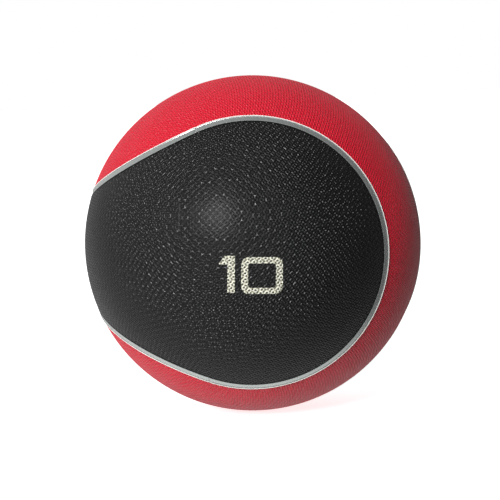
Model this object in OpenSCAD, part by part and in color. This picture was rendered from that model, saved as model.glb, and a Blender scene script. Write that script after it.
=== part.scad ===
// Medicine ball: an air-filled bladder inside a thick, weighted rubber wall and a
// two-colour moulded cover. Millimetres.
// The origin is the ball's centre. +X is the axis along which the two halves of the
// mould close, so every half piece ends in the plane x = 0. +Z is up. -Y is the front,
// and the weight number sits to the +X side of it. The valve points along -X.

/* [Ball] */
// Outside diameter of the ball
ball_d = 229; // [190:1:290]
// Thickness of the coloured cover
cover_t = 4; // [2.5:0.1:6]
// Thickness of the weighted rubber wall under the cover
wall_t = 24.1; // [12:0.1:34]
// Thickness of the nylon thread winding
winding_t = 1.4; // [1:0.1:3]
// Thickness of the air bladder
bladder_t = 1.8; // [1:0.1:3]

/* [Colour panels] */
// Angle between the mould axis and the middle of each lobe, in degrees
lobe_tilt = 66.7; // [62:0.1:72]
// Width of the stripes between the two colours
stripe_w = 5.2; // [2:0.1:8]
// Height of the stripes above the cover
stripe_rise = 0.5; // [0.1:0.05:0.8]

/* [Weight number] */
// Height of the digits
digit_h = 23.4; // [12:0.1:32]
// Width of the zero
zero_w = 26; // [14:0.1:34]
// Width of the one's strokes
stroke_w = 4.7; // [2:0.1:5.5]
// Width of the zero's upright strokes
zero_side_w = 4.3; // [2:0.1:5.5]
// Width of the zero's level strokes
zero_bar_w = 3.9; // [2:0.1:5.5]
// Outside corner radius of the zero
zero_corner_r = 5.4; // [3:0.1:6.5]
// Inside corner radius of the zero
zero_eye_r = 1.6; // [0.5:0.1:2.2]
// Reach of the one's flag to the left of its stem
flag_reach = 5.6; // [2:0.1:8]
// Height of the one's flag
flag_h = 5.5; // [3:0.1:8]
// Gap between the two digits
digit_gap = 4; // [2:0.1:8]
// How far the zero is printed below the one
zero_drop = 0.6; // [0:0.1:2]
// Height of the number's middle below the middle of its lobe
number_drop = 9.7; // [0:0.1:20]
// How far the number's middle is to the left of the lobe's middle line
number_side = 0.7; // [0:0.1:5]
// Turn of the number, clockwise, in degrees
number_turn = 3.2; // [0:0.1:10]
// Thickness of the printed ink
ink_t = 0.12; // [0.05:0.01:0.3]

/* [Valve] */
// Radius of the hole that an inflating needle goes into
needle_r = 1.1; // [0.8:0.05:1.4]
// Depth of the needle hole
needle_depth = 14; // [8:0.5:16]
// Radius of the valve core's shaft
core_r = 2.7; // [2.2:0.1:3.4]
// Radius of the collar that keeps the core in its housing
collar_r = 3.6; // [3.5:0.05:4]
// Length of that collar
collar_l = 2.5; // [1.5:0.1:4]
// Length of the core that stays outside the collar
core_head_l = 7; // [4:0.5:9]
// Radius of the valve housing's neck
neck_r = 5.5; // [4.8:0.1:7]
// Depth of the valve's mouth below the cover
mouth_depth = 0.8; // [0.3:0.1:1.5]
// Radius of the housing's flange inside the bladder
flange_r = 17; // [12:0.5:24]
// Thickness of that flange
flange_t = 2; // [1.2:0.1:3]
// Radius of the patch between the bladder and the winding
patch_r = 22; // [14:0.5:30]
// Thickness of that patch
patch_t = 0.6; // [0.4:0.1:0.8]

/* [Hidden] */
$fn = 96;

// Radii of the layers, from the outside in
ball_r = ball_d / 2;
cover_in_r = ball_r - cover_t;
wall_in_r = cover_in_r - wall_t;
winding_in_r = wall_in_r - winding_t;
bladder_in_r = winding_in_r - bladder_t;
flange_in_r = bladder_in_r - flange_t;

// The seam is four arcs of one size, each round the middle of its own lobe. Arcs of two
// colours touch in the plane x = 0, which settles the angle from a lobe's middle to the
// seam.
lobe_half = acos(-pow(cos(lobe_tilt), 2)) / 2;
stripe_half = (stripe_w / 2) / ball_r * 180 / PI;
lobe_edge = lobe_half - stripe_half;
field_edge = lobe_half + stripe_half;

// Depths along the valve's axis, as distances from the ball's centre
mouth_r = ball_r - mouth_depth;
collar_out_r = mouth_r - core_head_l;
collar_in_r = collar_out_r - collar_l;

// Room that a cutter takes beyond what it cuts
slack = 5;

red = [0.80, 0.06, 0.14];
black = [0.10, 0.10, 0.10];
silver = [0.66, 0.67, 0.67];
cream = [0.93, 0.93, 0.86];
wall_grey = [0.24, 0.24, 0.25];
thread_white = [0.85, 0.84, 0.80];
butyl = [0.16, 0.15, 0.15];
valve_rubber = [0.07, 0.07, 0.07];

// Layer of a ball between two radii
module shell(out_r, in_r) {
    difference() {
        sphere(r = out_r);
        sphere(r = in_r);
    }
}

// One side of the plane x = 0: side is 1 for the right half and -1 for the left
module half_space(side) {
    reach = ball_r + slack;
    translate([side > 0 ? 0 : -reach, -reach, -reach])
        cube([reach, 2 * reach, 2 * reach]);
}

// Cone of half-angle spread round the middle of a lobe. The lobes of the right half lie
// towards -Y (turn = 0) and +Y (turn = 180), and those of the left half towards
// +Z (turn = 90) and -Z (turn = -90).
module lobe_cone(side, turn, spread) {
    reach = ball_r + slack;
    rotate([-turn, 0, 0])
        rotate([0, 0, -side * lobe_tilt])
            rotate([0, side * 90, 0])
                cylinder(h = reach, r1 = 0, r2 = reach * tan(spread));
}

module cover_half(side) {
    intersection() {
        shell(ball_r, cover_in_r);
        half_space(side);
    }
}

// Round lobe of one colour
module lobe(side, turn) {
    intersection() {
        cover_half(side);
        lobe_cone(side, turn, lobe_edge);
    }
}

// The rest of that half of the cover: a band of the other colour between its two lobes
module band(side, turn) {
    difference() {
        cover_half(side);
        lobe_cone(side, turn, field_edge);
        lobe_cone(side, turn + 180, field_edge);
    }
}

// Strip between a lobe and the band, standing a little proud of the cover
module stripe(side, turn) {
    color(silver)
        intersection() {
            shell(ball_r + stripe_rise, cover_in_r);
            half_space(side);
            difference() {
                lobe_cone(side, turn, field_edge);
                lobe_cone(side, turn, lobe_edge);
            }
        }
}

// Turns +Z to the valve's axis, -X
module along_valve() {
    rotate([0, -90, 0]) children();
}

module valve_hole(r) {
    along_valve() cylinder(h = ball_r + slack, r = r);
}

module cover_red_band() {
    color(red) band(1, 0);
}

module cover_black_lobe_front() {
    color(black) lobe(1, 0);
}

module cover_black_lobe_back() {
    color(black) lobe(1, 180);
}

module cover_black_band() {
    color(black)
        difference() {
            band(-1, 90);
            valve_hole(neck_r);
        }
}

module cover_red_lobe_top() {
    color(red) lobe(-1, 90);
}

module cover_red_lobe_bottom() {
    color(red) lobe(-1, -90);
}

// Outline of the one, with its stem's lower right corner at the origin
module one_outline() {
    stem_left = -stroke_w;
    flag_slant = flag_h * 0.7;
    polygon([
        [0, 0], [0, digit_h],
        [stem_left - flag_reach + flag_slant, digit_h],
        [stem_left - flag_reach, digit_h - flag_h],
        [stem_left, digit_h - flag_h],
        [stem_left, 0]
    ]);
}

// Rectangle with round corners, its lower left corner at the origin
module round_rect(w, h, r) {
    translate([r, 0]) square([w - 2 * r, h]);
    translate([0, r]) square([w, h - 2 * r]);
    for (x = [r, w - r], y = [r, h - r])
        translate([x, y]) circle(r = r);
}

// Outline of the zero, with its lower left corner at the origin
module zero_outline() {
    difference() {
        round_rect(zero_w, digit_h, zero_corner_r);
        translate([zero_side_w, zero_bar_w])
            round_rect(zero_w - 2 * zero_side_w, digit_h - 2 * zero_bar_w, zero_eye_r);
    }
}

// Lays an outline on the front lobe as a film of ink
module print_on_lobe() {
    number_w = flag_reach + stroke_w + digit_gap + zero_w;
    drop_angle = number_drop / ball_r * 180 / PI;
    color(cream)
        intersection() {
            shell(ball_r + ink_t, ball_r);
            rotate([0, 0, 90 - lobe_tilt])
                rotate([90 + drop_angle, 0, 0])
                    rotate([0, 0, -number_turn])
                        translate([-number_w / 2 - number_side, -digit_h / 2, 0])
                            linear_extrude(height = ball_r + slack)
                                children();
        }
}

module digit_one() {
    print_on_lobe() translate([flag_reach + stroke_w, 0]) one_outline();
}

module digit_zero() {
    print_on_lobe()
        translate([flag_reach + stroke_w + digit_gap, -zero_drop]) zero_outline();
}

// Half of the weighted wall
module weighted_wall(side) {
    color(wall_grey)
        difference() {
            intersection() {
                shell(cover_in_r, wall_in_r);
                half_space(side);
            }
            if (side < 0) valve_hole(neck_r);
        }
}

module weighted_wall_right() {
    weighted_wall(1);
}

module weighted_wall_left() {
    weighted_wall(-1);
}

module patch_disc() {
    intersection() {
        shell(winding_in_r + patch_t, winding_in_r);
        valve_hole(patch_r);
    }
}

// Nylon thread wound round the bladder, with room for the patch and the valve's neck
module thread_winding() {
    color(thread_white)
        difference() {
            shell(wall_in_r, winding_in_r);
            patch_disc();
            valve_hole(neck_r);
        }
}

module air_bladder() {
    color(butyl)
        difference() {
            shell(winding_in_r, bladder_in_r);
            valve_hole(neck_r);
        }
}

module bladder_patch() {
    color(butyl)
        difference() {
            patch_disc();
            valve_hole(neck_r);
        }
}

// Solid outline of the valve core: shaft, collar and closed tip, from the flange's
// inner face out to the mouth
module core_body() {
    along_valve() {
        translate([0, 0, flange_in_r]) cylinder(h = mouth_r - flange_in_r, r = core_r);
        translate([0, 0, collar_in_r]) cylinder(h = collar_l, r = collar_r);
    }
}

// Flange inside the bladder and neck out through the wall to the cover
module valve_housing() {
    color(valve_rubber)
        difference() {
            union() {
                intersection() {
                    shell(bladder_in_r, flange_in_r);
                    valve_hole(flange_r);
                }
                along_valve()
                    translate([0, 0, flange_in_r])
                        cylinder(h = mouth_r - flange_in_r, r = neck_r);
            }
            core_body();
        }
}

// Self-sealing plug with the needle hole in its outer end
module valve_core() {
    color(valve_rubber)
        difference() {
            core_body();
            along_valve()
                translate([0, 0, mouth_r - needle_depth])
                    cylinder(h = needle_depth + slack, r = needle_r);
        }
}

cover_red_band();
cover_black_lobe_front();
cover_black_lobe_back();
cover_black_band();
cover_red_lobe_top();
cover_red_lobe_bottom();
stripe(1, 0);  // stripe_front
stripe(1, 180);  // stripe_back
stripe(-1, 90);  // stripe_top
stripe(-1, -90);  // stripe_bottom
digit_one();
digit_zero();
weighted_wall_right();
weighted_wall_left();
thread_winding();
air_bladder();
bladder_patch();
valve_housing();
valve_core();
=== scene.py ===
import math
import bpy
import numpy as np
from mathutils import Matrix, Vector


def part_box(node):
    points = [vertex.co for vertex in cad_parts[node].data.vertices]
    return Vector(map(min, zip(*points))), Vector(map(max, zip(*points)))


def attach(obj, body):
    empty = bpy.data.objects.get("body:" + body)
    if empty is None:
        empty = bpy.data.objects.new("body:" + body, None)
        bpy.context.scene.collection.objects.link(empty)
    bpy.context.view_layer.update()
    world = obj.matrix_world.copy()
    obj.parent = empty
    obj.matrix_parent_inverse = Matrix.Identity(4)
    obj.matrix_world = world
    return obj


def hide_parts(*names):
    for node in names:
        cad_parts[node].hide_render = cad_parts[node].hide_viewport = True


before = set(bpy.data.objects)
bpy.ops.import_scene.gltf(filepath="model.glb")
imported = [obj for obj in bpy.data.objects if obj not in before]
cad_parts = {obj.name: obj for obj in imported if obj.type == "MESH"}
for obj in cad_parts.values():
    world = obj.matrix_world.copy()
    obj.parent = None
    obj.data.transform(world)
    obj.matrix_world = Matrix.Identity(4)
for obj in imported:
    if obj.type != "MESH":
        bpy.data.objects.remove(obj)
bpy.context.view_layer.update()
scene = bpy.context.scene
mm = 0.001


def meshPoints(mesh):
    flat = np.empty(len(mesh.vertices) * 3)
    mesh.vertices.foreach_get("co", flat)
    return flat.reshape(-1, 3)


# What the cover looks like in the frame: its radii, and where the seam runs on it
coverPoints = meshPoints(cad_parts["cover_red_band"].data)
coverRadii = np.linalg.norm(coverPoints, axis=1)
ballR = coverRadii.max()
coverIn = coverRadii.min()
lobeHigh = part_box("cover_black_lobe_front")[1]
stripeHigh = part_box("stripe_front")[1]
stripeR = np.linalg.norm(meshPoints(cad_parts["stripe_front"].data), axis=1).max()
lobeEdge = math.asin(lobeHigh.z / ballR)
fieldEdge = math.asin(stripeHigh.z / stripeR)
lobeTilt = lobeEdge + math.acos(lobeHigh.x / ballR)
print("frame: ball", round(ballR * 2, 4), "lobe tilt", round(math.degrees(lobeTilt), 2),
      "edges", round(math.degrees(lobeEdge), 2), round(math.degrees(fieldEdge), 2))

camera = {
    "azimuth": 24.05,
    "elevation": 5.15,
    "roll": -2.93,
    "distance": 11.0 * ballR,
    "lens": 132.3,
    "shiftX": -0.0050,
    "shiftY": -0.0143,
}


def addCamera():
    turn = math.radians(camera["azimuth"])
    rise = math.radians(camera["elevation"])
    roll = math.radians(camera["roll"])
    back = Vector((math.sin(turn) * math.cos(rise), -math.cos(turn) * math.cos(rise), math.sin(rise)))
    level = Vector((0, 0, 1)).cross(back).normalized()
    above = back.cross(level)
    right = level * math.cos(roll) + above * math.sin(roll)
    up = above * math.cos(roll) - level * math.sin(roll)
    bpy.ops.object.camera_add(location=back * camera["distance"])
    eye = bpy.context.object
    eye.rotation_euler = Matrix((right, up, back)).transposed().to_euler()
    eye.data.lens = camera["lens"]
    eye.data.shift_x = camera["shiftX"]
    eye.data.shift_y = camera["shiftY"]
    scene.camera = eye
    return right, up, back


viewRight, viewUp, viewBack = addCamera()
print("camera placed")


# A Wire is one socket of a shader, and arithmetic on it adds Math nodes
class Wire:
    def __init__(self, tree, socket):
        self.tree = tree
        self.socket = socket

    def node(self, kind, settings, sockets, out=0):
        return addNode(self.tree, kind, settings, sockets, out)

    def maths(self, operation, *values):
        return self.node("ShaderNodeMath", {"operation": operation}, dict(enumerate(values)))

    def __add__(self, other):
        return self.maths("ADD", self, other)

    def __radd__(self, other):
        return self.maths("ADD", other, self)

    def __sub__(self, other):
        return self.maths("SUBTRACT", self, other)

    def __rsub__(self, other):
        return self.maths("SUBTRACT", other, self)

    def __mul__(self, other):
        return self.maths("MULTIPLY", self, other)

    def __rmul__(self, other):
        return self.maths("MULTIPLY", other, self)

    def cos(self):
        return self.maths("COSINE", self)

    def between(self, low, high, start=0.0, end=1.0):
        return self.node(
            "ShaderNodeMapRange",
            {"interpolation_type": "SMOOTHSTEP"},
            {"Value": self, "From Min": low, "From Max": high, "To Min": start, "To Max": end},
        )

    def mix(self, first, second):
        return self.node(
            "ShaderNodeMix",
            {"data_type": "RGBA"},
            {"Factor_Float": self, "A_Color": first, "B_Color": second},
            "Result_Color",
        )


def addNode(tree, kind, settings, sockets, out=0):
    made = tree.nodes.new(kind)
    for name, value in settings.items():
        setattr(made, name, value)
    for name, value in sockets.items():
        if isinstance(name, int):
            socket = made.inputs[name]
        else:
            socket = next(s for s in made.inputs if name in (s.identifier, s.name))
        if isinstance(value, Wire):
            tree.links.new(value.socket, socket)
        elif isinstance(value, tuple) and len(value) == 3 and socket.type == "RGBA":
            socket.default_value = (*value, 1)
        else:
            socket.default_value = value
    if isinstance(out, int):
        return Wire(tree, made.outputs[out])
    return Wire(tree, next(s for s in made.outputs if out in (s.identifier, s.name)))


def newPaint(name):
    # a material with an empty Principled surface; returns it and its node tree
    paint = bpy.data.materials.new(name)
    paint.use_nodes = True
    return paint, paint.node_tree


def finishPaint(tree, values, links):
    # uniform values go on the shader's own sockets, the rest is linked to them
    shader = tree.nodes["Principled BSDF"]
    for name, value in values.items():
        shader.inputs[name].default_value = (*value, 1) if isinstance(value, tuple) else value
    for name, wire in links.items():
        tree.links.new(wire.socket, shader.inputs[name])


def noise(tree, place, scale, detail=3.0, rough=0.5):
    return addNode(
        tree,
        "ShaderNodeTexNoise",
        {},
        {"Vector": place, "Scale": scale, "Detail": detail, "Roughness": rough},
    )


def objectPlace(tree):
    return addNode(tree, "ShaderNodeTexCoord", {}, {}, "Object")


# The woven texture pressed into the rubber
weave = {
    "cell": {"lobe": 3.27 * mm, "band": 3.45 * mm},
    "depth": 0.20 * mm,
    "bump": 0.80 * mm,
    "fine": 0.27,
    "coarse": 0.03,
    "turns": 1.75,
    "uvScale": 0.01,
    "drift": 0.16,
}


def weaveHeight(a, b, cos=np.cos):
    # 0 in the valleys to 1 on the grains; a and b count cells along the two thread directions
    full = 2 * math.pi
    across = cos(a * (weave["turns"] * full)) * cos(b * math.pi)
    along = cos(b * (weave["turns"] * full)) * cos(a * math.pi)
    coarse = cos(a * full) + cos(b * full)
    return (across + along) * weave["fine"] + coarse * weave["coarse"] + 0.5


def weaveWires(tree):
    # the same height for a shader, from the piece's own map
    place = addNode(tree, "ShaderNodeUVMap", {"uv_map": "weave"}, {})
    split = addNode(tree, "ShaderNodeSeparateXYZ", {}, {"Vector": place})
    across = Wire(tree, split.socket) * (1 / weave["uvScale"])
    along = Wire(tree, split.socket.node.outputs[1]) * (1 / weave["uvScale"])
    return weaveHeight(across, along, lambda wire: wire.cos())


# each rubber is painted darker in the weave's valleys than on the grain tops: painted shade in the recesses
rubber = {
    "black": {
        "valleyShade": (0.003, 0.003, 0.003),
        "face": (0.012, 0.012, 0.012),
        "dust": (0.040, 0.039, 0.037),
        "dustShare": 0.14,
        "rough": (0.31, 0.37),
        "shine": 0.40,
        "coat": 0.05,
    },
    "red": {
        "valleyShade": (0.60, 0.005, 0.018),
        "face": (0.80, 0.012, 0.042),
        "dust": (0.74, 0.130, 0.155),
        "dustShare": 0.28,
        "rough": (0.38, 0.44),
        "shine": 0.34,
        "coat": 0.04,
    },
}


def rubberPaint(name, look):
    paint, tree = newPaint(name)
    place = objectPlace(tree)
    height = weaveWires(tree)
    # painted shade: this mask gives the weave's valleys the darker colour and the grain tops the lighter one
    grain = height.between(0.25, 0.75)
    cloud = noise(tree, place, 28.0, 4.0, 0.6)
    speck = noise(tree, place, 1500.0, 2.0, 0.6)
    body = grain.mix(look["valleyShade"], look["face"])
    dusty = cloud.between(0.45, 0.75) * speck.between(0.4, 0.8) * look["dustShare"]
    colour = dusty.mix(body, look["dust"])
    low, high = look["rough"]
    roughness = noise(tree, place, 160.0, 3.0, 0.6).between(0.3, 0.7, low, high)
    micro = height + speck * 0.08
    normal = addNode(
        tree, "ShaderNodeBump", {}, {"Strength": 1.0, "Distance": weave["bump"], "Height": micro}
    )
    finishPaint(
        tree,
        {"Specular IOR Level": look["shine"], "Coat Weight": look["coat"], "Coat Roughness": 0.25},
        {"Base Color": colour, "Roughness": roughness, "Normal": normal},
    )
    return paint


silver = {
    "base": (0.61, 0.65, 0.63),
    "worn": (0.52, 0.55, 0.54),
    # the lip by the red edge: partly a lighter paint edge, partly a painted highlight for the shine on the
    # lip
    "lip": (0.90, 0.88, 0.84),
    "lipFrom": (0.86, 0.90),
    "shade": (0.05, 0.05, 0.05),
    "shadeTo": (0.0, 0.13),
    "metal": 0.75,
    "rough": (0.22, 0.30),
}


def silverPaint():
    paint, tree = newPaint("silverPaint")
    place = objectPlace(tree)
    cloud = noise(tree, place, 60.0, 4.0, 0.6)
    fine = noise(tree, place, 1400.0, 2.0, 0.5)
    body = (cloud.between(0.5, 0.8) * 0.3).mix(silver["base"], silver["worn"])
    place = addNode(tree, "ShaderNodeUVMap", {"uv_map": "stripe"}, {})
    across = addNode(tree, "ShaderNodeSeparateXYZ", {}, {"Vector": place})
    # painted highlight: the lip along the red edge is pale and not metallic, standing in for its shine as
    # well as a lighter paint edge
    paintedLipHighlight = across.between(*silver["lipFrom"])
    colour = across.between(*silver["shadeTo"]).mix(silver["shade"], paintedLipHighlight.mix(body, silver["lip"]))
    low, high = silver["rough"]
    roughness = fine.between(0.3, 0.7, low, high)
    normal = addNode(
        tree, "ShaderNodeBump", {}, {"Strength": 1.0, "Distance": 0.01 * mm, "Height": fine + cloud}
    )
    metal = paintedLipHighlight * -silver["metal"] + silver["metal"]
    finishPaint(
        tree, {}, {"Base Color": colour, "Metallic": metal, "Roughness": roughness, "Normal": normal}
    )
    return paint


ink = {
    "cream": (0.97, 0.96, 0.82),
    "thin": (0.60, 0.59, 0.44),
    "gap": (0.05, 0.05, 0.04),
    "gapFrom": (0.26, 0.42),
    "thinFrom": (0.36, 0.60),
    "bump": 1.7 * mm,
}


def inkPaint():
    paint, tree = newPaint("creamInk")
    place = objectPlace(tree)
    height = weaveWires(tree)
    speck = noise(tree, place, 1200.0, 2.0, 0.6)
    worn = height * 0.8 + speck * 0.2
    cover = worn.between(*ink["gapFrom"])
    edge = cover.mix(ink["gap"], ink["thin"])
    colour = worn.between(*ink["thinFrom"]).mix(edge, ink["cream"])
    micro = height + speck * 0.06
    normal = addNode(
        tree, "ShaderNodeBump", {}, {"Strength": 1.0, "Distance": ink["bump"], "Height": micro}
    )
    roughness = cover.between(0.0, 1.0, 0.5, 0.62)
    finishPaint(tree, {}, {"Base Color": colour, "Roughness": roughness, "Normal": normal})
    return paint


hidden = {
    "wallRubber": {
        "low": (0.035, 0.035, 0.038),
        "high": (0.065, 0.064, 0.066),
        "scale": 220.0,
        "rough": 0.75,
    },
    "butylRubber": {
        "low": (0.020, 0.019, 0.018),
        "high": (0.036, 0.034, 0.032),
        "scale": 90.0,
        "rough": 0.45,
    },
    "valveRubber": {
        "low": (0.010, 0.010, 0.010),
        "high": (0.020, 0.020, 0.020),
        "scale": 600.0,
        "rough": 0.40,
    },
}


def mouldedPaint(name, look):
    # plain moulded rubber: mottled colour, uneven gloss and a fine grain
    paint, tree = newPaint(name)
    place = objectPlace(tree)
    mottle = noise(tree, place, look["scale"], 4.0, 0.6)
    grain = noise(tree, place, look["scale"] * 8, 2.0, 0.5)
    colour = mottle.between(0.3, 0.7).mix(look["low"], look["high"])
    roughness = grain.between(0.2, 0.8, look["rough"] - 0.08, look["rough"] + 0.08)
    normal = addNode(
        tree, "ShaderNodeBump", {}, {"Strength": 0.6, "Distance": 0.05 * mm, "Height": grain + mottle}
    )
    finishPaint(tree, {}, {"Base Color": colour, "Roughness": roughness, "Normal": normal})
    return paint


thread = {"pitch": 0.9 * mm, "light": (0.74, 0.71, 0.62), "shade": (0.38, 0.35, 0.28)}


def threadPaint():
    # three crossing layers of wound thread
    paint, tree = newPaint("nylonThread")
    place = objectPlace(tree)
    split = addNode(tree, "ShaderNodeSeparateXYZ", {}, {"Vector": place})
    axes = [Wire(tree, split.socket.node.outputs[i]) for i in range(3)]
    turns = 2 * math.pi / thread["pitch"]
    layers = [
        ((axes[0] + axes[1] * 0.4) * turns).cos(),
        ((axes[1] + axes[2] * 0.5) * turns).cos(),
        ((axes[2] - axes[0] * 0.6) * turns).cos(),
    ]
    height = (layers[0] + layers[1] + layers[2]) * (1 / 6) + 0.5
    fuzz = noise(tree, place, 800.0)
    colour = (height * 0.7 + fuzz * 0.3).between(0.25, 0.7).mix(thread["shade"], thread["light"])
    normal = addNode(
        tree, "ShaderNodeBump", {}, {"Strength": 1.0, "Distance": 0.2 * mm, "Height": height + fuzz * 0.2}
    )
    finishPaint(tree, {"Roughness": 0.7}, {"Base Color": colour, "Normal": normal})
    return paint


paints = {
    "black": rubberPaint("blackRubber", rubber["black"]),
    "red": rubberPaint("redRubber", rubber["red"]),
    "silver": silverPaint(),
    "ink": inkPaint(),
    "thread": threadPaint(),
}
for name, look in hidden.items():
    paints[name] = mouldedPaint(name, look)
print("paints made:", len(paints))


def deselectAll():
    bpy.ops.object.select_all(action="DESELECT")


def readPoints(piece):
    return meshPoints(piece.data)


def writePoints(piece, points):
    piece.data.vertices.foreach_set("co", np.asarray(points, dtype=float).ravel())
    piece.data.update()


def editMode(piece, on):
    bpy.context.view_layer.objects.active = piece
    bpy.ops.object.mode_set(mode="EDIT" if on else "OBJECT")


def pick(piece, chosen, kind="faces"):
    # leaves just these faces or points selected, in edit mode
    editMode(piece, False)
    mesh = piece.data
    for group in (mesh.vertices, mesh.edges, mesh.polygons):
        group.foreach_set("select", np.zeros(len(group), dtype=bool))
    group = mesh.polygons if kind == "faces" else mesh.vertices
    group.foreach_set("select", np.asarray(chosen, dtype=bool))
    bpy.context.tool_settings.mesh_select_mode = (kind != "faces", False, kind == "faces")
    editMode(piece, True)


def faceCentres(piece):
    flat = np.empty(len(piece.data.polygons) * 3)
    piece.data.polygons.foreach_get("center", flat)
    return flat.reshape(-1, 3)


def cut(piece, place, normal, behind=False, front=False, fill=False):
    bpy.ops.mesh.bisect(
        plane_co=tuple(place), plane_no=tuple(normal), clear_inner=behind, clear_outer=front, use_fill=fill
    )


def outwards(piece):
    # recalculates the normals, and turns them over if the shell still faces the centre
    bpy.ops.mesh.select_all(action="SELECT")
    bpy.ops.mesh.normals_make_consistent(inside=False)
    editMode(piece, False)
    normals = np.empty(len(piece.data.polygons) * 3)
    piece.data.polygons.foreach_get("normal", normals)
    facing = (normals.reshape(-1, 3) * faceCentres(piece)).sum()
    editMode(piece, True)
    if facing < 0:
        bpy.ops.mesh.select_all(action="SELECT")
        bpy.ops.mesh.flip_normals()


def applyModifier(piece, kind, **settings):
    bpy.context.view_layer.objects.active = piece
    made = piece.modifiers.new(kind.title(), kind)
    for name, value in settings.items():
        setattr(made, name, value)
    bpy.ops.object.modifier_apply(modifier=made.name)


def finishPiece(piece, name, paint, slot, nodes):
    piece.name = name
    piece.data.name = name
    piece.data.materials.clear()
    piece.data.materials.append(paint)
    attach(piece, "root")
    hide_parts(*nodes)
    piece.select_set(False)


def turnAboutX(vector, degrees):
    return Matrix.Rotation(math.radians(degrees), 3, "X") @ Vector(vector)


def lobeFrame(side, turn):
    # a lobe's middle, and the two directions that its map runs along
    middle = turnAboutX((side * math.cos(lobeTilt), -math.sin(lobeTilt), 0), -turn)
    upward = turnAboutX((0, 0, 1), -turn)
    return middle, upward.cross(middle).normalized(), upward


def bandFrame(side, turn):
    middle = Vector((side, 0, 0))
    across = turnAboutX((0, -1, 0), -turn)
    return middle, middle.cross(across), across


def toBall(panel, flat):
    # flat map positions to directions on the ball
    middle, along, across = (np.array(v) for v in panel["axes"])
    if panel["shape"] == "lobe":
        far = np.hypot(flat[:, 0], flat[:, 1])
        angle = far / ballR
        safe = np.where(far > 0, far, 1)
        heading = flat[:, :1] / safe[:, None] * along + flat[:, 1:2] / safe[:, None] * across
        return middle * np.cos(angle)[:, None] + heading * np.sin(angle)[:, None]
    lon = (flat[:, 0] / ballR)[:, None]
    lat = (flat[:, 1] / ballR)[:, None]
    return (middle * np.cos(lon) + along * np.sin(lon)) * np.cos(lat) + across * np.sin(lat)


def toFlat(panel, ways):
    middle, along, across = (np.array(v) for v in panel["axes"])
    if panel["shape"] == "lobe":
        angle = np.arccos(np.clip(ways @ middle, -1, 1))
        heading = np.stack([ways @ along, ways @ across], axis=1)
        size = np.linalg.norm(heading, axis=1)
        size = np.where(size > 1e-9, size, 1)
        return heading / size[:, None] * (angle * ballR)[:, None]
    lat = np.arcsin(np.clip(ways @ across, -1, 1))
    lon = np.arctan2(ways @ along, ways @ middle)
    return np.stack([lon, lat], axis=1) * ballR


def toCells(panel, flat):
    # map positions to counts of weave cells; the threads run at 45 degrees, and drift a little
    diagonal = math.sqrt(2) * weave["cell"][panel["shape"]]
    a = (flat[:, 0] + flat[:, 1]) / diagonal
    b = (flat[:, 1] - flat[:, 0]) / diagonal
    drift = weave["drift"]
    driftA = drift * np.sin(0.31 * b + 1.1 * np.sin(0.17 * a))
    driftB = drift * np.sin(0.27 * a + 1.3 * np.sin(0.19 * b))
    return np.stack([a + driftA, b + driftB], axis=1)


# Each panel's CAD node, its shape, the half of the mould it is on, and its turn about X
panels = {
    "redBand": ("cover_red_band", "band", 1, 0, "red"),
    "blackLobeFront": ("cover_black_lobe_front", "lobe", 1, 0, "black"),
    "blackLobeBack": ("cover_black_lobe_back", "lobe", 1, 180, "black"),
    "blackBand": ("cover_black_band", "band", -1, 90, "black"),
    "redLobeTop": ("cover_red_lobe_top", "lobe", -1, 90, "red"),
    "redLobeBottom": ("cover_red_lobe_bottom", "lobe", -1, -90, "red"),
}
for name, values in panels.items():
    panels[name] = dict(zip(("node", "shape", "side", "turn", "paint"), values))
cover = {
    "lobeCuts": 5,
    "bandCuts": 4,
    "lobeCells": 92,
    "bandCells": 124,
    "edgeRings": (0.35 * mm, 0.8 * mm),
    "edgeFall": 0.30 * mm,
    "edgeReach": 0.7 * mm,
    "partRings": (0.25 * mm, 0.5 * mm),
    "partFall": 0.09 * mm,
    "partReach": 0.35 * mm,
    "fadeIn": 1.3 * mm,
    "skinDeep": 0.3 * mm,  # what is nearer the outside than this belongs to the outer face
}
valve = {
    "holeR": 5.7 * mm,
    "plainR": 10.5 * mm,
    "ringR": 8.2 * mm,
    "ringW": 1.3 * mm,
    "ringRise": 0.12 * mm,
}


def seamPlanes(panel, shift=0.0):
    # middle and angle of each lobe edge that bounds the panel, moved in by a distance on the ball
    if panel["shape"] == "lobe":
        return [(panel["axes"][0], lobeEdge - shift / ballR)]
    side, turn = panel["side"], panel["turn"]
    return [(lobeFrame(side, turn + half)[0], fieldEdge + shift / ballR) for half in (0, 180)]


def onSkin(piece):
    return np.linalg.norm(faceCentres(piece), axis=1) > ballR - cover["skinDeep"]


def smooth(value):
    value = np.clip(value, 0, 1)
    return value * value * (3 - 2 * value)


def skinRadius(panel, ways):
    # how far out the moulded surface lies in each direction
    cells = toCells(panel, toFlat(panel, ways))
    fromSeam = np.full(len(ways), 1.0)
    for middle, angle in seamPlanes(panel):
        gap = np.abs(np.arccos(np.clip(ways @ np.array(middle), -1, 1)) - angle) * ballR
        fromSeam = np.minimum(fromSeam, gap)
    fromPart = np.abs(ways[:, 0]) * ballR
    nearest = np.minimum(fromSeam, fromPart)
    texture = smooth(nearest / cover["fadeIn"])
    fall = cover["edgeFall"] * (1 - smooth(fromSeam / cover["edgeReach"]))
    fall += cover["partFall"] * (1 - smooth(fromPart / cover["partReach"]))
    rise = np.zeros(len(ways))
    if panel["node"] == "cover_black_band":
        fromValve = np.hypot(ways[:, 1], ways[:, 2]) * ballR
        fromValve = np.where(ways[:, 0] < 0, fromValve, 1.0)
        texture *= smooth((fromValve - valve["ringR"]) / (valve["plainR"] - valve["ringR"]))
        ring = smooth(1 - np.abs(fromValve - valve["ringR"]) / valve["ringW"])
        rise = ring * valve["ringRise"]
        fall = fall + cover["edgeFall"] * (1 - smooth((fromValve - valve["holeR"]) / cover["edgeReach"]))
    sunk = weave["depth"] * (0.5 + (0.5 - weaveHeight(cells[:, 0], cells[:, 1])) * texture)
    return ballR - sunk - fall + rise


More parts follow.
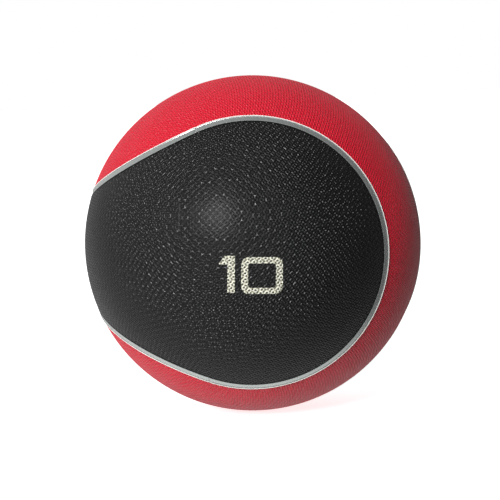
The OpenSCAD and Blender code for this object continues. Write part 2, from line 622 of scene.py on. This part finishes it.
def setMap(piece, name, places):
    corner = np.empty(len(piece.data.loops), dtype=int)
    piece.data.loops.foreach_get("vertex_index", corner)
    while piece.data.uv_layers:
        piece.data.uv_layers.remove(piece.data.uv_layers[0])
    layer = piece.data.uv_layers.new(name=name)
    layer.data.foreach_set("uv", places[corner].ravel())


def mapCells(piece, panel, ways):
    # the piece's own map: weave cells, shrunk so that it stays near the unit square
    setMap(piece, "weave", toCells(panel, toFlat(panel, ways)) * weave["uvScale"])


def addPanel(name, panel):
    lobe = panel["shape"] == "lobe"
    side = panel["side"]
    panel["axes"] = lobeFrame(side, panel["turn"]) if lobe else bandFrame(side, panel["turn"])
    count = cover["lobeCells"] if lobe else cover["bandCells"]
    cell = weave["cell"][panel["shape"]]
    deselectAll()
    bpy.ops.mesh.primitive_grid_add(x_subdivisions=count, y_subdivisions=count, size=count * cell)
    piece = bpy.context.object
    editMode(piece, True)
    bpy.ops.transform.rotate(value=math.radians(45), orient_axis="Z", center_override=(0, 0, 0))
    editMode(piece, False)
    flat = readPoints(piece)
    spare = 2 * cell
    if lobe:
        outside = np.hypot(flat[:, 0], flat[:, 1]) > lobeEdge * ballR + spare
    else:
        reach = ballR * math.pi / 2
        outside = (np.abs(flat[:, 0]) > reach + spare) | (np.abs(flat[:, 1]) > reach / 2 + spare)
    pick(piece, outside, "points")
    bpy.ops.mesh.delete(type="VERT")
    editMode(piece, False)
    writePoints(piece, toBall(panel, readPoints(piece)) * ballR)

    # trimmed to its outline while the net is still coarse
    editMode(piece, True)
    bpy.ops.mesh.select_all(action="SELECT")
    cut(piece, (0, 0, 0), (side, 0, 0), behind=True)
    for middle, angle in seamPlanes(panel):
        bpy.ops.mesh.select_all(action="SELECT")
        cut(piece, middle * ballR * math.cos(angle), middle, behind=lobe, front=not lobe)
    if panel["node"] == "cover_black_band":
        bpy.ops.mesh.select_all(action="SELECT")
        cut(piece, (-math.sqrt(ballR**2 - valve["holeR"] ** 2), 0, 0), (-1, 0, 0), front=True)
    bpy.ops.mesh.select_all(action="SELECT")
    bpy.ops.mesh.remove_doubles(threshold=0.15 * mm)
    bpy.ops.mesh.select_all(action="DESELECT")
    bpy.context.tool_settings.mesh_select_mode = (False, False, True)
    bpy.ops.mesh.select_face_by_sides(number=4, type="GREATER")
    bpy.ops.mesh.quads_convert_to_tris(quad_method="BEAUTY", ngon_method="BEAUTY")
    outwards(piece)
    editMode(piece, False)
    applyModifier(piece, "SOLIDIFY", thickness=ballR - coverIn, offset=-1.0)

    # the outside gets the fine net that carries the texture
    pick(piece, onSkin(piece))
    bpy.ops.mesh.subdivide(number_cuts=cover["lobeCuts"] if lobe else cover["bandCuts"])
    for ring in cover["edgeRings"]:
        for middle, angle in seamPlanes(panel, ring):
            editMode(piece, False)
            pick(piece, onSkin(piece))
            cut(piece, middle * ballR * math.cos(angle), middle)
    for ring in cover["partRings"]:
        editMode(piece, False)
        pick(piece, onSkin(piece))
        cut(piece, (side * ring, 0, 0), (side, 0, 0))
    editMode(piece, False)
    points = readPoints(piece)
    radii = np.linalg.norm(points, axis=1)
    ways = points / radii[:, None]
    radii = np.where(radii > ballR - cover["skinDeep"], skinRadius(panel, ways), coverIn)
    writePoints(piece, ways * radii[:, None])
    mapCells(piece, panel, ways)
    bpy.ops.object.shade_smooth_by_angle(angle=math.radians(50))
    finishPiece(piece, name, paints[panel["paint"]], panel["paint"] + "_rubber", [panel["node"]])
    print("panel", name, "faces", len(piece.data.polygons))
    return piece


for name, panel in panels.items():
    addPanel(name, panel)


# The stripes between the colours
stripes = {
    "stripeFront": {"node": "stripe_front", "side": 1, "turn": 0},
    "stripeBack": {"node": "stripe_back", "side": 1, "turn": 180},
    "stripeTop": {"node": "stripe_top", "side": -1, "turn": 90},
    "stripeBottom": {"node": "stripe_bottom", "side": -1, "turn": -90},
}
bead = {
    "steps": 40,
    "turns": 720,
    "grooveW": 0.30 * mm,
    "grooveSink": 0.12 * mm,
    "trough": 0.10 * mm,
    "wallW": 1.2 * mm,
    "wallSink": 0.24 * mm,
    "lipW": 1.10 * mm,
    "lipTop": 0.30 * mm,
    "outerW": 0.26 * mm,
    "endRings": (0.3 * mm, 0.6 * mm, 1.0 * mm),
    "endFall": 0.30 * mm,
    "endReach": 0.8 * mm,
}


def beadRise(fromBlack, width):
    # the moulded section, from the black edge (groove, then a shallow trough) to the lip by the red
    fromRed = width - fromBlack
    rise = bead["trough"] - bead["wallSink"] * smooth(fromBlack / bead["wallW"])
    top = stripeR - ballR
    lip = smooth((bead["lipW"] - fromRed) / (bead["lipW"] - bead["lipTop"]))
    rise = rise + (top - rise) * lip
    rise = rise - bead["grooveSink"] * (1 - smooth(fromBlack / bead["grooveW"]))
    return rise - (top + bead["grooveSink"]) * (1 - smooth(fromRed / bead["outerW"]))


def addStripe(name, stripe):
    side = stripe["side"]
    middle, along, across = lobeFrame(side, stripe["turn"])
    seam = (lobeEdge + fieldEdge) / 2
    width = (fieldEdge - lobeEdge) * ballR
    deselectAll()
    bpy.ops.mesh.primitive_plane_add(size=1)
    piece = bpy.context.object
    editMode(piece, True)
    bpy.ops.mesh.select_all(action="SELECT")
    bpy.ops.transform.resize(value=(width, stripeR - coverIn, 1), center_override=(0, 0, 0))
    bpy.ops.transform.translate(value=(0, (stripeR + coverIn) / 2, 0))
    editMode(piece, False)
    pick(piece, readPoints(piece)[:, 1] > ballR, "points")
    bpy.ops.mesh.subdivide(number_cuts=bead["steps"])
    bpy.ops.mesh.select_all(action="SELECT")
    bpy.ops.mesh.delete(type="ONLY_FACE")
    editMode(piece, False)
    section = readPoints(piece)
    outside = section[:, 1] > ballR
    section[outside, 1] = ballR + beadRise(width / 2 + side * section[outside, 0], width)
    angle = seam + section[:, 0] / ballR
    writePoints(
        piece,
        (np.cos(angle)[:, None] * np.array(middle) + np.sin(angle)[:, None] * np.array(across))
        * section[:, 1:2],
    )
    editMode(piece, True)
    bpy.ops.mesh.select_all(action="SELECT")
    bpy.ops.mesh.spin(steps=bead["turns"], angle=2 * math.pi, center=(0, 0, 0), axis=tuple(middle))
    bpy.ops.mesh.select_all(action="SELECT")
    bpy.ops.mesh.remove_doubles(threshold=0.02 * mm)
    bpy.ops.mesh.select_all(action="SELECT")
    cut(piece, (0, 0, 0), (side, 0, 0), behind=True, fill=True)
    # the flat ends become fans from their middle, which come out the same each time
    bpy.ops.mesh.select_all(action="DESELECT")
    bpy.context.tool_settings.mesh_select_mode = (False, False, True)
    bpy.ops.mesh.select_face_by_sides(number=bead["steps"], type="GREATER")
    bpy.ops.mesh.poke()
    for ring in bead["endRings"]:
        bpy.ops.mesh.select_all(action="SELECT")
        cut(piece, (side * ring, 0, 0), (side, 0, 0))
    bpy.ops.mesh.select_all(action="SELECT")
    bpy.ops.mesh.normals_make_consistent(inside=False)
    editMode(piece, False)
    points = readPoints(piece)
    radii = np.linalg.norm(points, axis=1)
    high = np.clip((radii - coverIn) / (ballR - coverIn), 0, 1)
    end = 1 - smooth(np.abs(points[:, 0]) / bead["endReach"])
    aside = np.arccos(np.clip(points @ np.array(middle) / radii, -1, 1))
    around = np.arctan2(points @ np.array(along), points @ np.array(across)) / (2 * math.pi)
    fromBlack = 0.5 + side * (aside - seam) / (fieldEdge - lobeEdge)
    setMap(piece, "stripe", np.stack([fromBlack, around], axis=1))
    writePoints(piece, points * (1 - bead["endFall"] * end * high / radii)[:, None])
    bpy.ops.object.shade_smooth_by_angle(angle=math.radians(50))
    finishPiece(piece, name, paints["silver"], "silver_stripe", [stripe["node"]])
    print("stripe", name, "faces", len(piece.data.polygons))


for name, stripe in stripes.items():
    addStripe(name, stripe)


# The weight number, printed over the texture
number = {
    "height": 23.4 * mm,
    "zeroWidth": 26 * mm,
    "stroke": 4.7 * mm,
    "zeroSide": 4.3 * mm,
    "zeroBar": 3.9 * mm,
    "cornerR": 5.4 * mm,
    "eyeR": 1.6 * mm,
    "flagReach": 5.6 * mm,
    "flagHeight": 5.5 * mm,
    "flagSlant": 0.7,
    "gap": 4 * mm,
    "zeroDrop": 0.6 * mm,
    "drop": 9.7 * mm,
    "side": 0.7 * mm,
    "turn": 3.2,
    "net": 0.45 * mm,
    "film": 0.09 * mm,
}


def addPlane(low, high):
    deselectAll()
    bpy.ops.mesh.primitive_plane_add(size=1)
    piece = bpy.context.object
    editMode(piece, True)
    bpy.ops.mesh.select_all(action="SELECT")
    bpy.ops.transform.resize(value=(high[0] - low[0], high[1] - low[1], 1), center_override=(0, 0, 0))
    bpy.ops.transform.translate(value=((high[0] + low[0]) / 2, (high[1] + low[1]) / 2, 0))
    return piece


def netCuts(piece):
    # cuts across the whole outline at the net's spacing, both ways
    editMode(piece, False)
    points = readPoints(piece)
    editMode(piece, True)
    for axis in (0, 1):
        low, high = points[:, axis].min(), points[:, axis].max()
        steps = int((high - low) / number["net"])
        normal = (1, 0, 0) if axis == 0 else (0, 1, 0)
        for step in range(1, steps):
            bpy.ops.mesh.select_all(action="SELECT")
            place = low + (high - low) * step / steps
            cut(piece, tuple(place * n for n in normal), normal)
    editMode(piece, False)


def printOnLobe(piece, name, node):
    # laid on the front lobe along the number's own direction, over the woven texture
    panel = panels["blackLobeFront"]
    middle, along, across = panel["axes"]
    fall = Matrix.Rotation(number["drop"] / ballR, 3, along)
    out = fall @ middle
    lean = Matrix.Rotation(math.radians(-number["turn"]), 3, out)
    right = np.array(lean @ fall @ along)
    up = np.array(lean @ fall @ across)
    points = readPoints(piece)
    flat = points[:, :1] * right + points[:, 1:2] * up
    lift = np.sqrt(ballR**2 - points[:, 0] ** 2 - points[:, 1] ** 2)
    ways = (flat + lift[:, None] * np.array(out)) / ballR
    writePoints(piece, ways * (skinRadius(panel, ways) + number["film"])[:, None])
    mapCells(piece, panel, ways)
    editMode(piece, True)
    outwards(piece)
    editMode(piece, False)
    applyModifier(piece, "SOLIDIFY", thickness=number["film"] * 1.6, offset=-1.0)
    bpy.ops.object.shade_smooth_by_angle(angle=math.radians(50))
    finishPiece(piece, name, paints["ink"], "cream_ink", [node])
    print("digit", name, "faces", len(piece.data.polygons))


def addOne(left, low):
    stemLeft = left + number["flagReach"]
    top = low + number["height"]
    piece = addPlane((stemLeft, low), (stemLeft + number["stroke"], top))
    bpy.ops.mesh.select_all(action="SELECT")
    cut(piece, (0, top - number["flagHeight"], 0), (0, 1, 0))
    editMode(piece, False)
    points = readPoints(piece)
    flagRoot = (points[:, 0] < stemLeft + 0.1 * mm) & (points[:, 1] > top - number["flagHeight"] - 0.1 * mm)
    pick(piece, flagRoot, "points")
    bpy.ops.mesh.extrude_region_move(TRANSFORM_OT_translate={"value": (-number["flagReach"], 0, 0)})
    editMode(piece, False)
    points = readPoints(piece)
    pick(piece, (points[:, 0] < left + 0.1 * mm) & (points[:, 1] > top - 0.1 * mm), "points")
    bpy.ops.transform.translate(value=(number["flagHeight"] * number["flagSlant"], 0, 0))
    netCuts(piece)
    printOnLobe(piece, "digitOne", "digit_one")


def onOuterEdge(piece, left, right):
    return np.abs(readPoints(piece)[:, 0] - (left + right) / 2) > (right - left) / 2 - 0.1 * mm


def addZero(left, low):
    right, top = left + number["zeroWidth"], low + number["height"]
    thinner = 1 - 2 * (number["zeroSide"] - number["zeroBar"]) / (right - left - 2 * number["zeroBar"])
    middle = ((left + right) / 2, (low + top) / 2, 0)
    piece = addPlane((left, low), (right, top))
    bpy.ops.mesh.inset(thickness=number["zeroBar"])
    bpy.ops.transform.resize(value=(thinner, 1, 1), center_override=middle)
    bpy.ops.mesh.delete(type="ONLY_FACE")
    editMode(piece, False)
    pick(piece, ~onOuterEdge(piece, left, right), "points")
    bpy.ops.mesh.bevel(offset=number["eyeR"], segments=6, affect="VERTICES")
    editMode(piece, False)
    pick(piece, onOuterEdge(piece, left, right), "points")
    bpy.ops.mesh.bevel(offset=number["cornerR"], segments=10, affect="VERTICES")
    netCuts(piece)
    printOnLobe(piece, "digitZero", "digit_zero")


oneWide = number["flagReach"] + number["stroke"]
numberLeft = -(oneWide + number["gap"] + number["zeroWidth"]) / 2 - number["side"]
addOne(numberLeft, -number["height"] / 2)
addZero(numberLeft + oneWide + number["gap"], -number["height"] / 2 - number["zeroDrop"])


# The inner pieces keep their shape and get their finish
finishes = {
    "weighted_wall_right": "wallRubber",
    "weighted_wall_left": "wallRubber",
    "thread_winding": "thread",
    "air_bladder": "butylRubber",
    "bladder_patch": "butylRubber",
    "valve_housing": "valveRubber",
    "valve_core": "valveRubber",
}
for node, paint in finishes.items():
    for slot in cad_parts[node].material_slots:
        slot.material = paints[paint]
print("inner pieces painted:", len(finishes))


stage = {"size": 30.0, "tone": (0.92, 0.92, 0.92), "rough": 0.6, "lift": 0.8}
sky = {
    "seen": 1.0,
    "left": 0.31,
    "right": 0.0,
    "behind": 0.60,
    "below": 1.55,
    "sheenLoss": 0.48,  # the surroundings are duller in reflections than they are as fill light
}
key = {"side": -0.392, "up": 0.315, "back": 0.862, "far": 2.0, "strength": 3.7, "angle": 20}


def addFloor():
    deselectAll()
    bpy.ops.mesh.primitive_plane_add(size=stage["size"], location=(0, 0, -ballR))
    floor = bpy.context.object
    floor.name = "floor"
    paint, tree = newPaint("paleFloor")
    mottle = noise(tree, objectPlace(tree), 3.0)
    colour = mottle.between(0.3, 0.7).mix(stage["tone"], tuple(c * 0.99 for c in stage["tone"]))
    finishPaint(
        tree,
        {"Roughness": stage["rough"], "Emission Color": (1.0, 1.0, 1.0), "Emission Strength": stage["lift"]},
        {"Base Color": colour},
    )
    floor.data.materials.append(paint)
    floor.visible_diffuse = False
    floor.visible_glossy = False


def addSky():
    # soft all round, brighter on the left than on the right, and bright below as off a white sweep
    world = bpy.data.worlds.new("studio")
    scene.world = world
    world.use_nodes = True
    tree = world.node_tree
    way = addNode(tree, "ShaderNodeTexCoord", {}, {}, "Generated")
    height = addNode(
        tree, "ShaderNodeVectorMath", {"operation": "DOT_PRODUCT"}, {0: way, 1: (0, 0, 1)}, "Value"
    )
    toRight = addNode(
        tree, "ShaderNodeVectorMath", {"operation": "DOT_PRODUCT"}, {0: way, 1: tuple(viewRight)}, "Value"
    )
    toViewer = addNode(
        tree, "ShaderNodeVectorMath", {"operation": "DOT_PRODUCT"}, {0: way, 1: tuple(viewBack)}, "Value"
    )
    sides = toRight.between(-0.9, 0.9, sky["left"], sky["right"])
    behind = toViewer.between(0.1, -0.8, 0.0, sky["behind"])
    below = (height * -1.0 - toRight * 0.2 - toViewer * 0.5).between(0.4, 1.1)
    light = (sides + behind) * (1 - below) + below * sky["below"]
    seen = addNode(tree, "ShaderNodeLightPath", {}, {}, "Is Camera Ray")
    sheen = addNode(tree, "ShaderNodeLightPath", {}, {}, "Is Glossy Ray")
    strength = light * (1 - sheen * sky["sheenLoss"]) * (1 - seen) + seen * sky["seen"]
    background = tree.nodes["Background"]
    background.inputs["Color"].default_value = (1, 1, 1, 1)
    tree.links.new(strength.socket, background.inputs["Strength"])


def addKey():
    place = (viewRight * key["side"] + viewUp * key["up"] + viewBack * key["back"]).normalized()
    deselectAll()
    bpy.ops.object.light_add(type="SUN", location=place * key["far"])
    light = bpy.context.object
    light.name = "key"
    light.data.energy = key["strength"]
    light.data.angle = math.radians(key["angle"])
    light.rotation_euler = place.to_track_quat("Z", "Y").to_euler()


addFloor()
addSky()
addKey()
scene.view_settings.view_transform = "Standard"
print("stage and light set")
